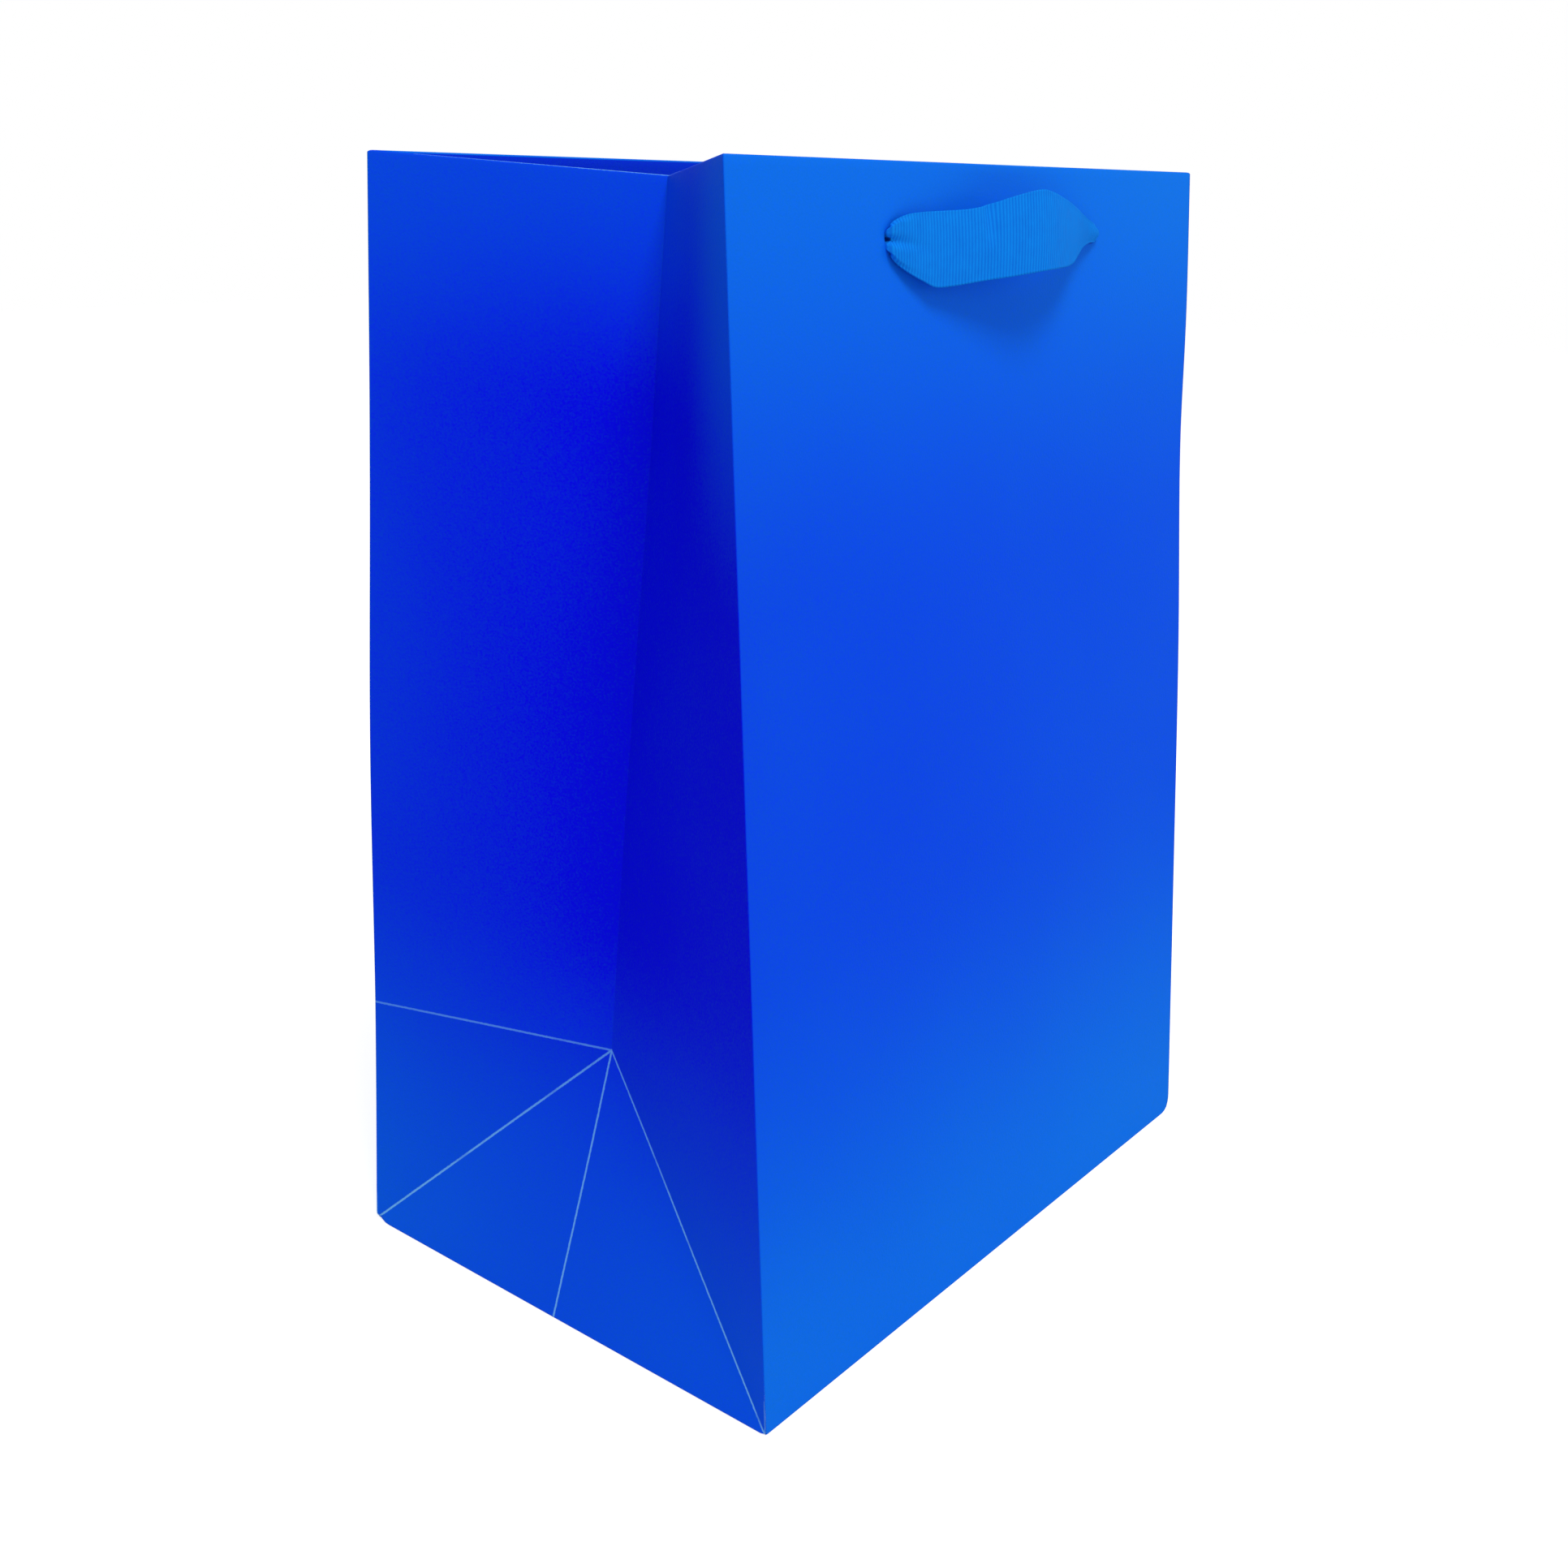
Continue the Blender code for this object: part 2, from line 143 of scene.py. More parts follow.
def graded(start, end, cells, crowding):
    """Lines from start to end, crowded towards both: a hyperbolic tangent of evenly spaced steps."""
    steps = np.linspace(-1.0, 1.0, cells + 1)
    share = 0.5 + 0.5 * np.tanh(crowding * steps) / math.tanh(crowding)
    return start + (end - start) * share


def along_line(first, last, share):
    """Points on the straight line from first to last, at each share of its length."""
    return first + (last - first) * np.asarray(share)[:, None]


# Rows of the sheet, as heights along it from the base fold, and how far each row is turned into the bag.
hole_height = PANEL_HEIGHT - HOLE_DROP
hole_rows = np.linspace(hole_height - HOLE_BLOCK, hole_height + HOLE_BLOCK, HOLE_BLOCK_CELLS + 1)
hem_height = PANEL_HEIGHT - HEM_DEPTH
wall_rows = np.concatenate(
    [
        graded(0.0, HALF_GUSSET, 34, 2.3),
        graded(HALF_GUSSET, hem_height, 44, 2.3)[1:],
        np.linspace(hem_height, hole_rows[0], 6)[1:],
        hole_rows[1:],
        np.linspace(hole_rows[-1], PANEL_HEIGHT - TOP_FOLD_RISE, 8)[1:],
    ]
)
turn = np.linspace(0.0, math.pi, 9)[1:-1]
hem_rows = wall_rows[wall_rows >= hem_height - 1e-9][::-1]
row_height = np.concatenate([wall_rows, PANEL_HEIGHT - TOP_FOLD_RISE * (1 - np.sin(turn)), hem_rows])
row_turned = np.concatenate([np.zeros(len(wall_rows)), (1 - np.cos(turn)) / 2, np.ones(len(hem_rows))])
row_path = np.concatenate(
    [
        wall_rows,
        PANEL_HEIGHT + TOP_FOLD_WIDTH * (turn / math.pi - 0.5),
        2 * PANEL_HEIGHT - hem_rows + TOP_FOLD_WIDTH,
    ]
)
is_wall = row_turned == 0.0
is_lower = is_wall & (row_height <= HALF_GUSSET + 1e-9)
low_share = np.clip(row_height / HALF_GUSSET, 0.0, 1.0)
high_share = np.clip((row_height - HALF_GUSSET) / (PANEL_HEIGHT - HALF_GUSSET), 0.0, 1.0)

# The back folds at its own crease, which its rows reach at the junction's height.
hem_share = np.clip((row_height - HALF_GUSSET) / (hem_height - HALF_GUSSET), 0.0, 1.0)
below_hem = BACK_CREASE_HEIGHT + (hem_height - BACK_CREASE_HEIGHT) * hem_share
above_crease = np.where(row_height < hem_height, below_hem, row_height)
back_height = np.where(is_lower, row_height * BACK_CREASE_HEIGHT / HALF_GUSSET, above_crease)
back_high_share = np.clip((back_height - BACK_CREASE_HEIGHT) / back_above, 0.0, 1.0)


def lower_or_upper(lower, upper):
    """Takes each row from lower up to the junction, and from upper above it."""
    return np.where(is_lower[:, None], lower, upper)


def other_side(rail):
    """A rail of the left gusset, as the right gusset has it."""
    return rail * (-1.0, 1.0, 1.0)


front_rail = along_line(base_front, top_front, row_height / PANEL_HEIGHT)
middle_rail = lower_or_upper(
    along_line(base_middle, junction, low_share), along_line(junction, top_middle, high_share)
)
back_rail = lower_or_upper(
    along_line(base_back, back_crease, low_share), along_line(back_crease, top_back, back_high_share)
)


def turned_in(ring, offsets, share):
    """Moves a closed ring of rails into the bag, each run between two rails by its own offset times share.

    Each row's ring runs anticlockwise seen from above, so a run's inside is on its left. A rail goes to
    where its two moved runs cross.
    """
    flat = ring[:, :, :2]
    runs = np.roll(flat, -1, axis=1) - flat
    runs = runs / np.linalg.norm(runs, axis=2)[..., None]
    inwards = np.stack([-runs[..., 1], runs[..., 0]], axis=2)
    normals = np.stack([np.roll(inwards, 1, axis=1), inwards], axis=2)
    reach = np.stack([np.roll(offsets, 1), offsets], axis=1)[None] * share[:, None, None]
    moved = ring.copy()
    moved[:, :, :2] += np.linalg.solve(normals, reach[..., None])[..., 0]
    return moved


# Six rails carry the walls: the front's edges, the gussets' middle creases and the back's edges.
ring = np.stack(
    [
        front_rail,
        other_side(front_rail),
        other_side(middle_rail),
        other_side(back_rail),
        back_rail,
        middle_rail,
    ],
    axis=1,
)
run_offsets = np.array([PANEL_HEM_OFFSET, GUSSET_HEM_OFFSET, GUSSET_HEM_OFFSET] * 2)
ring[~is_wall] = turned_in(ring[~is_wall], run_offsets, row_turned[~is_wall])
front_l, front_r, middle_r, back_r, back_l, middle_l = ring.transpose(1, 0, 2)

# The slanting creases of the gussets are four more, which end at the junctions.
front_slant = along_line(base_front, junction, low_share)
back_slant = along_line(base_back, junction, low_share)
rails = [
    front_l,
    front_r,
    lower_or_upper(other_side(front_slant), middle_r),
    middle_r,
    lower_or_upper(other_side(back_slant), middle_r),
    back_r,
    back_l,
    lower_or_upper(back_slant, middle_l),
    middle_l,
    lower_or_upper(front_slant, middle_l),
    front_l,
]

# Where each rail lies on the flat sheet: across it from the front's left edge, and up it from the base fold.
from_edge = np.minimum(row_height, HALF_GUSSET)
level = np.zeros(len(row_height))
right_start = PANEL_WIDTH
back_start = right_start + GUSSET_WIDTH
left_start = back_start + PANEL_WIDTH
sheet_end = left_start + GUSSET_WIDTH
rail_across = [
    level,
    level + right_start,
    right_start + from_edge,
    level + right_start + HALF_GUSSET,
    back_start - from_edge,
    level + back_start,
    level + left_start,
    left_start + from_edge,
    level + left_start + HALF_GUSSET,
    sheet_end - from_edge,
    level + sheet_end,
]
back_path = np.where(is_wall, back_height, row_path)
rail_up = [row_path] * 5 + [back_path] * 2 + [row_path] * 4

# Columns between the rails. A panel's columns include the blocks round its two holes.
hole_left = (PANEL_WIDTH - HOLE_SPACING) / 2
hole_columns = np.linspace(hole_left - HOLE_BLOCK, hole_left + HOLE_BLOCK, HOLE_BLOCK_CELLS + 1)
left_columns = np.concatenate(
    [
        graded(0.0, hole_columns[0], 18, 2.0),
        hole_columns[1:],
        np.linspace(hole_columns[-1], PANEL_WIDTH / 2, 14)[1:],
    ]
)
panel_share = np.concatenate([left_columns, PANEL_WIDTH - left_columns[-2::-1]]) / PANEL_WIDTH
slant_share = graded(0.0, 1.0, 26, 2.2)
run_shares = [panel_share, slant_share, slant_share, slant_share, slant_share] * 2
run_starts = np.concatenate([[0], np.cumsum([len(share) - 1 for share in run_shares])])


def sheet_grid(values):
    """Joins the surfaces between neighbouring rails into one grid of rows by columns.

    Each column lies at its share of the way from one rail to the next.
    """
    columns = []
    for first, last, share in zip(values, values[1:], run_shares):
        share = share[:-1].reshape((1, -1) + (1,) * (first.ndim - 1))
        columns.append(first[:, None] * (1 - share) + last[:, None] * share)
    return np.concatenate(columns + [values[-1][:, None]], axis=1)


points = sheet_grid(rails)
across = sheet_grid(rail_across)
up = sheet_grid(rail_up)
rows, columns = across.shape
index = np.arange(rows * columns).reshape(rows, columns)
kept = np.ones((rows - 1, columns - 1), bool)
junction_row = int(np.sum(is_lower)) - 1
for run in (2, 3, 7, 8):
    kept[junction_row:, run_starts[run] : run_starts[run + 1]] = False

points, across, up = points.reshape(-1, 3), across.ravel(), up.ravel()
point_parts, across_parts, up_parts, quads = [points], [across], [up], []


def add_points(place, sheet_across, sheet_up):
    """Adds points with their places on the flat sheet, and gives each its number."""
    start_number = sum(len(part) for part in point_parts)
    point_parts.append(place.reshape(-1, 3))
    across_parts.append(sheet_across.ravel())
    up_parts.append(sheet_up.ravel())
    return start_number + np.arange(sheet_up.size).reshape(sheet_up.shape)


# Each hole takes its block out of the grid, and rings go from the block's outline to a circle.
wall_block = int(np.argmin(np.abs(wall_rows - hole_rows[0])))
hem_block = rows - len(hem_rows) + int(np.argmin(np.abs(hem_rows - hole_rows[-1])))
first_block = int(np.argmin(np.abs(left_columns - hole_columns[0])))
last_block = len(panel_share) - 1 - first_block - HOLE_BLOCK_CELLS
edge = np.arange(HOLE_BLOCK_CELLS)
zero, full = 0 * edge, 0 * edge + HOLE_BLOCK_CELLS
loop_rows = np.concatenate([zero, edge, full, full - edge])
loop_columns = np.concatenate([edge, full, full - edge, zero])
ring_shares = np.linspace(0.0, 1.0, 5)[1:]
block_columns = [run_starts[panel] + block for panel in (0, 5) for block in (first_block, last_block)]
for start_row, outwards in ((wall_block, 0.0), (hem_block, HEM_HOLE_SHIFT)):
    for start_column in block_columns:
        kept[start_row : start_row + HOLE_BLOCK_CELLS, start_column : start_column + HOLE_BLOCK_CELLS] = False
        outline = index[start_row + loop_rows, start_column + loop_columns]
        centre = index[start_row + HOLE_BLOCK_CELLS // 2, start_column + HOLE_BLOCK_CELLS // 2]
        centre_place = points[centre] + (outwards * np.sign(points[centre][0]), 0.0, 0.0)
        spokes = points[outline] - centre_place
        shrink = 1 - HOLE_RADIUS / np.linalg.norm(spokes, axis=1)
        previous = outline
        for ring_share in ring_shares:
            scale = 1 - ring_share * shrink
            following = add_points(
                centre_place + spokes * scale[:, None],
                across[centre] + (across[outline] - across[centre]) * scale,
                up[centre] + (up[outline] - up[centre]) * scale,
            )
            corners = [previous, np.roll(previous, -1), np.roll(following, -1), following]
            quads.append(np.stack(corners, axis=1))
            previous = following


def cells(index):
    """The quads of a grid of point numbers. They face where columns turn to rows anticlockwise."""
    return np.stack([index[:-1, :-1], index[:-1, 1:], index[1:, 1:], index[1:, :-1]], axis=2)


quads.append(cells(index)[kept])


def add_grid(place, sheet_across, sheet_up):
    """Adds a grid of points, with their places on the flat sheet, and its quads to the sheet."""
    quads.append(cells(add_points(place, sheet_across, sheet_up)).reshape(-1, 4))


# The base is a grid between the walls' lowest rows, and faces down.
base_deep = np.concatenate([slant_share[:-1] * HALF_GUSSET, HALF_GUSSET + slant_share * HALF_GUSSET])
base_y, base_x = np.meshgrid(base_deep, panel_share * PANEL_WIDTH)
base_place = np.stack([base_x + side, base_y - HALF_GUSSET, np.full_like(base_x, PAPER)], axis=2)
add_grid(base_place, base_x, -np.minimum(base_y, GUSSET_WIDTH - base_y))

# Below it lie the front's and the back's glued flaps, with mitred ends. The back's laps over the front's.
FLAP_LAP = 0.014
FLAP_SEAM = 0.0005
FLAP_ROUND = 0.0008
FLAP_GAP = 0.00003
flap_share = np.linspace(-1.0, 1.0, 60)
for towards, flap_depth in ((1, HALF_GUSSET - FLAP_LAP - FLAP_SEAM), (-1, HALF_GUSSET + FLAP_LAP)):
    flap_deep = np.concatenate([np.linspace(0, FLAP_ROUND, 6)[:-1], np.linspace(FLAP_ROUND, flap_depth, 40)])
    flap_y, flap_x = np.meshgrid(flap_deep, flap_share)
    bend = np.clip(1 - flap_y / FLAP_ROUND, 0.0, 1.0)
    flap_x = towards * flap_x * (PANEL_WIDTH / 2 - FLAP_GAP - flap_y)
    flap_z = (PAPER - FLAP_GAP) * (1 - np.sqrt(1 - bend**2))
    flap_place = np.stack([flap_x, towards * (flap_y - HALF_GUSSET), flap_z], axis=2)
    add_grid(flap_place, flap_x - side, -flap_y)

# The glue lap goes up inside the back's right edge, from the base to the hem.
LAP_WIDTH = 0.016
LAP_INSET = 0.0012
LAP_STEP_IN = 0.0004
lap_up, lap_across = np.meshgrid(
    np.linspace(LAP_INSET, hem_height - LAP_INSET, 60),
    np.linspace(LAP_INSET, LAP_INSET + LAP_WIDTH, 8),
    indexing="ij",
)
crease_heights = (0.0, BACK_CREASE_HEIGHT, PANEL_HEIGHT)
lap_y, lap_z = (
    np.interp(lap_up, crease_heights, (base_back[axis], back_crease[axis], top_back[axis])) for axis in (1, 2)
)
lap_place = np.stack([-side - lap_across, lap_y - LAP_STEP_IN, lap_z], axis=2)
add_grid(lap_place, back_start + lap_across, lap_up)
points, across, up, quads = map(np.concatenate, (point_parts, across_parts, up_parts, quads))


# Where the creases have cracked the print: start and end on the flat sheet, and how worn each end is.
def gusset_creases(back_edge, towards):
    """The cracked creases of one gusset, measured across from its back edge towards its front edge."""
    middle = (back_edge + towards * HALF_GUSSET, HALF_GUSSET)
    front_edge = back_edge + towards * GUSSET_WIDTH
    lip = back_edge + towards * HALF_GUSSET
    return [
        (middle, (back_edge, BACK_CREASE_HEIGHT), 0.42, 0.36),
        (middle, (back_edge, 0.0), 0.50, 0.85),
        (middle, (back_edge + towards * HALF_GUSSET, 0.0), 0.55, 0.70),
        (middle, (front_edge, 0.0), 0.46, 0.80),
        ((front_edge, 0.0), (front_edge, 0.012), 0.9, 0.3),
        ((lip, PANEL_HEIGHT), (back_edge + towards * 0.012, PANEL_HEIGHT), 0.95, 0.2),
        ((lip, PANEL_HEIGHT), (lip + towards * 0.022, PANEL_HEIGHT), 1.0, 0.25),
    ]


creases = gusset_creases(left_start, 1) + gusset_creases(back_start, -1)
creases += [
    ((back_start, BACK_CREASE_HEIGHT), (left_start, BACK_CREASE_HEIGHT), 0.5, 0.5),
    ((0.105, PANEL_HEIGHT), (0.135, PANEL_HEIGHT), 0.3, 0.8),
    ((0.135, PANEL_HEIGHT), (0.168, PANEL_HEIGHT), 0.8, 0.3),
    ((left_start, 0.0), (left_start, 0.010), 0.9, 0.2),
    ((right_start, 0.0), (right_start, 0.014), 0.7, 0.2),
]
place = np.stack([across, up], axis=1)
crease_distance = np.full(len(place), 1.0)
crease_wear = np.zeros(len(place))
for start, end, start_wear, end_wear in creases:
    start, end = np.array(start), np.array(end)
    share = np.clip((place - start) @ (end - start) / np.sum((end - start) ** 2), 0.0, 1.0)
    distance = np.linalg.norm(place - start - share[:, None] * (end - start), axis=1)
    nearer = distance < crease_distance
    crease_distance = np.where(nearer, distance, crease_distance)
    crease_wear = np.where(nearer, start_wear + (end_wear - start_wear) * share, crease_wear)


def smoothly(value):
    """Goes from 0 to 1 with flat ends as value does."""
    value = np.clip(value, 0.0, 1.0)
    return value * value * (3.0 - 2.0 * value)


# Painted shade and light: the print is painted deepest in the gussets' folds, where they are shaded, and deeper
# across each panel's middle than at its ends. It is painted paler towards the gussets' tops and base and
# towards one side of each panel, where more light falls.
HEM_PAINTED_SHADE = 0.80
up_share = up / PANEL_HEIGHT
right_fold = right_start + HALF_GUSSET
left_fold = left_start + HALF_GUSSET
from_fold = np.minimum(np.abs(across - left_fold), np.abs(across - right_fold)) / HALF_GUSSET
front_half = (across > left_fold) | (across < right_fold)
gusset_painted_shade = 1 - np.where(front_half, 0.02, 0.18) * np.clip(from_fold, 0, 1) ** 1.5
gusset_painted_shade -= 0.34 * smoothly((up_share - 0.79) / 0.21) * (1 - 0.45 * from_fold)
gusset_painted_shade -= 0.45 * smoothly(1 - up / 0.14)
near_front = smoothly(1.7 * from_fold - 0.7) * smoothly((up_share - 0.66) / 0.22)
gusset_painted_shade -= np.where(front_half, 0.32 * near_front, 0.0)
panel_place = np.where(across < right_start, across, across - back_start) / PANEL_WIDTH
panel_painted_shade = 0.10 + 0.53 * smoothly(up_share / 0.42) * smoothly((1.06 - up_share) / 0.42)
panel_painted_shade -= 0.09 * smoothly((panel_place - 0.3) / 0.6)
is_gusset = (across > right_start) & (across < back_start) | (across > left_start)
print_painted_shade = np.clip(np.where(is_gusset, gusset_painted_shade, panel_painted_shade), 0.0, 1.0)
# The hem turned in at the top, inside the bag, is painted deeper as painted shade.
print_painted_shade = np.where(up > PANEL_HEIGHT + TOP_FOLD_WIDTH / 2, HEM_PAINTED_SHADE, print_painted_shade)


def shared_places(points):
    """The first point at each place, and which of those each point is, so that seams can be closed."""
    micrometres = np.round(points * 1e6).astype(np.int64)
    _, first, inverse = np.unique(micrometres, axis=0, return_index=True, return_inverse=True)
    return first, inverse.ravel()


first, inverse = shared_places(points)
near = np.full(len(first), 1.0)
np.minimum.at(near, inverse, crease_distance)
worn = np.zeros(len(first))
np.maximum.at(worn, inverse, np.where(crease_distance <= near[inverse] + 1e-9, crease_wear, 0.0))
# The painted shade of the print, kept for each merged point.
depth = np.zeros(len(first))
np.maximum.at(depth, inverse, print_painted_shade)
points = points[first]
quads = inverse[quads]


def bump_at(value, centre, reach):
    """A smooth hill that is 1 at centre and fades away past reach: a bell curve."""
    return np.exp(-(((value - centre) / reach) ** 2))


# How far the walls bow, and each bottom corner's side in x and in y with its radius.
BROAD_WAVE, NARROW_WAVE = 0.0007, 0.0004
FRONT_DENT, FRONT_BELLY, BACK_SWELL, CREASE_SWAY = 0.0013, 0.0012, 0.0016, 0.0005
CORNERS = ((1, -1, 0.0055), (-1, 1, 0.0028), (1, 1, 0.0022), (-1, -1, 0.0010))


def handled(points):
    """Small shapes that hands and standing give the bag, as shifts of its points.

    Above its base and below its stiff hem each wall bows a little, by products of sines and bell curves that
    fade towards the panel's edges. Each bottom corner is rounded in its panel's plane: with radius r, squares
    round the point that is r in and r up become circles there, less so the farther a point is from the panel.
    """
    x, y, z = points.T.copy()
    free = smoothly(z / 0.06) * smoothly((PANEL_HEIGHT - 0.022 - z) / 0.07)
    wide = np.clip(x / (PANEL_WIDTH / 2), -1, 1)
    wave = BROAD_WAVE * np.sin(2.1 * wide + 0.6) * np.sin(17.0 * z)
    wave += NARROW_WAVE * np.sin(5.3 * wide) * np.sin(31.0 * z + 1.0)
    wave *= 1 - wide**4
    dent = FRONT_DENT * bump_at(z, 0.255, 0.05) * smoothly((wide + 0.4) / 1.4)
    belly = FRONT_BELLY * np.cos(math.pi / 2 * wide) * bump_at(z, 0.14, 0.08)
    swell = BACK_SWELL * bump_at(z, 0.17, 0.07)
    fold = np.clip(1 - np.abs(y) / 0.05, 0.0, 1.0) * np.sign(x)
    x += free * fold * CREASE_SWAY * np.sin(23.0 * z + 2.0 * np.sign(x))
    y += free * (smoothly(-y / 0.07) * (dent + wave - belly) + smoothly(y / 0.07) * (swell - 0.8 * wave))
    for x_way, y_way, radius in CORNERS:
        to_side = np.clip(radius + x_way * x - PANEL_WIDTH / 2, 0.0, None)
        to_foot = np.clip(radius - z + PAPER, 0.0, None)
        length = np.maximum(np.hypot(to_side, to_foot), 1e-9)
        pull = 1 - np.maximum(to_side, to_foot) / length
        pull *= smoothly(1 - (HALF_GUSSET - y_way * y) / (2 * radius))
        x -= x_way * to_side * pull
        z += to_foot * pull
    return np.stack([x, y, z], axis=1)


def sheet_mesh(name, points, quads, attributes):
    """A smooth-shaded mesh from points and quads. A quad with a doubled corner becomes a triangle."""
    doubled = quads == np.roll(quads, -1, axis=1)
    once = doubled.sum(axis=1) == 1
    corners = (doubled[once].argmax(axis=1)[:, None] + (1, 2, 3)) % 4
    triangles = np.take_along_axis(quads[once], corners, axis=1)
    mesh = bpy.data.meshes.new(name)
    mesh.from_pydata(points.tolist(), [], quads[~doubled.any(axis=1)].tolist() + triangles.tolist())
    for label, values in attributes.items():
        layer = mesh.attributes.new(label, "FLOAT", "POINT")
        layer.data.foreach_set("value", np.asarray(values, np.float32))
    mesh.shade_smooth()
    mesh.update()
    return mesh


def shown(name, mesh, *materials):
    """A piece at the origin, with its materials in order."""
    piece = bpy.data.objects.new(name, mesh)
    bpy.context.scene.collection.objects.link(piece)
    for material in materials:
        piece.data.materials.append(material)
    return piece


def thickened(piece, thickness, back_slot=0, even=True):
    """Gives a sheet its thickness behind its printed face, with another material there."""
    modifier = piece.modifiers.new("Thickness", "SOLIDIFY")
    modifier.thickness = thickness
    modifier.offset = -1.0
    modifier.use_even_offset = even
    modifier.material_offset = back_slot
    modifier.material_offset_rim = back_slot


def new_material(name):
    """An empty node material, with its Principled shader and its node tree."""
    material = bpy.data.materials.new(name)
    material.use_nodes = True
    tree = material.node_tree
    return material, tree, tree.nodes["Principled BSDF"]


def node(tree, kind, links=None, **settings):
    """A node with its settings, and with each named input linked to a socket or set to a value."""
    made = tree.nodes.new(kind)
    for key, value in settings.items():
        setattr(made, key, value)
    for key, value in (links or {}).items():
        socket = made.inputs[key]
        if isinstance(value, bpy.types.NodeSocket):
            tree.links.new(value, socket)
        else:
            socket.default_value = value
    return made


def maths(tree, operation, first, second=0.0, clamp=False):
    """The output of a Math node."""
    made = node(tree, "ShaderNodeMath", {0: first, 1: second}, operation=operation, use_clamp=clamp)
    return made.outputs[0]


def scaled(tree, value, factor):
    """A value times a number or another value."""
    return maths(tree, "MULTIPLY", value, factor)


def ranged(tree, value, low, high, to_low=0.0, to_high=1.0):
    """A value carried from one range to another and held inside it, with smooth ends."""
    links = {"Value": value, "From Min": low, "From Max": high, "To Min": to_low, "To Max": to_high}
    return node(tree, "ShaderNodeMapRange", links, interpolation_type="SMOOTHSTEP").outputs["Result"]


def mixed(tree, factor, first, second):
    """The output of a colour Mix node."""
    made = node(tree, "ShaderNodeMix", {"Factor": factor}, data_type="RGBA")
    for socket, value in ((made.inputs[6], first), (made.inputs[7], second)):
        if isinstance(value, bpy.types.NodeSocket):
            tree.links.new(value, socket)
        else:
            socket.default_value = (*value, 1.0)
    return made.outputs[2]


def finished(tree, shader, colour, roughness):
    """Links a colour and a roughness to a material's Principled shader."""
    tree.links.new(colour, shader.inputs["Base Color"])
    tree.links.new(roughness, shader.inputs["Roughness"])


def bumped(tree, shader, height, strength, distance):
    """Links a height to a material's Principled shader, as a bump of its normal."""
    bump = node(tree, "ShaderNodeBump", {"Height": height, "Strength": strength, "Distance": distance})
    tree.links.new(bump.outputs[0], shader.inputs["Normal"])


def paper_fibre_group():
    """Fine mottle and felt of paper: small noise, with a little broad and cloudy noise in it."""
    group = bpy.data.node_groups.new("paper_fibre", "ShaderNodeTree")
    group.interface.new_socket("Position", in_out="INPUT", socket_type="NodeSocketVector")
    group.interface.new_socket("Grain", in_out="INPUT", socket_type="NodeSocketFloat").default_value = 900.0
    group.interface.new_socket("Mottle", in_out="OUTPUT", socket_type="NodeSocketFloat")
    group.interface.new_socket("Height", in_out="OUTPUT", socket_type="NodeSocketFloat")
    start = group.nodes.new("NodeGroupInput")
    end = group.nodes.new("NodeGroupOutput")
    place, grain = start.outputs["Position"], start.outputs["Grain"]
    fine = node(group, "ShaderNodeTexNoise", {"Vector": place, "Scale": grain, "Detail": 3.0, "Roughness": 0.6})
    cloud_scale = scaled(group, grain, 0.22)
    cloud = node(group, "ShaderNodeTexNoise", {"Vector": place, "Scale": cloud_scale, "Detail": 4.0})
    mottle = maths(group, "ADD", scaled(group, fine.outputs[0], 0.85), scaled(group, cloud.outputs[0], 0.15))
    group.links.new(mottle, end.inputs["Mottle"])
    group.links.new(fine.outputs[0], end.inputs["Height"])
    return group


paper_fibre = paper_fibre_group()


def fibre(tree, place, grain):
    """The paper fibre group, placed in a material with its own grain."""
    made = node(tree, "ShaderNodeGroup", node_tree=paper_fibre)
    tree.links.new(place, made.inputs["Position"])
    made.inputs["Grain"].default_value = grain
    return made


# The print is a bright blue; a deeper blue is painted into the folds and across the panels' middles as painted
# shade. Its cracks show the paper's white core.
PRINT_PAINTED_LIT = (0.0032, 0.190, 0.86)
PRINT_PAINTED_SHADE = (0.0022, 0.0030, 0.84)
CRACK_PALE = (0.21, 0.60, 1.0)
CRACK_HALF_WIDTH = 0.00044

printed, tree, shader = new_material("printed_laminate")
place = node(tree, "ShaderNodeTexCoord").outputs["Object"]
grain = fibre(tree, place, 1500.0)
drift = node(tree, "ShaderNodeTexNoise", {"Vector": place, "Scale": 11.0, "Detail": 2.0}).outputs[0]
# How deep the blue is comes from the painted shade, with broad drift and fine mottle of the print's own tone.
painted_shade_here = node(tree, "ShaderNodeAttribute", attribute_name="print_painted_shade").outputs["Fac"]
drifting = scaled(tree, maths(tree, "SUBTRACT", drift, 0.5), 0.12)
mottling = scaled(tree, maths(tree, "SUBTRACT", grain.outputs["Mottle"], 0.5), 0.40)
painted_shade_and_mottle = maths(tree, "ADD", maths(tree, "ADD", painted_shade_here, drifting), mottling, True)
ink_and_painted_shade = mixed(tree, painted_shade_and_mottle, PRINT_PAINTED_LIT, PRINT_PAINTED_SHADE)
speckle = ranged(tree, grain.outputs["Mottle"], 0.25, 0.75, 0.93, 1.07)
ink_and_painted_shade = node(tree, "ShaderNodeHueSaturation", {"Value": speckle, "Color": ink_and_painted_shade}).outputs[0]
distance = node(tree, "ShaderNodeAttribute", attribute_name="crease_distance").outputs["Fac"]
wear = node(tree, "ShaderNodeAttribute", attribute_name="crease_wear").outputs["Fac"]
ragged = node(tree, "ShaderNodeTexNoise", {"Vector": place, "Scale": 1400.0, "Detail": 3.0}).outputs[0]
patchy = node(tree, "ShaderNodeTexNoise", {"Vector": place, "Scale": 120.0, "Detail": 2.0}).outputs[0]
half_width = scaled(tree, maths(tree, "ADD", ragged, 0.45), CRACK_HALF_WIDTH)
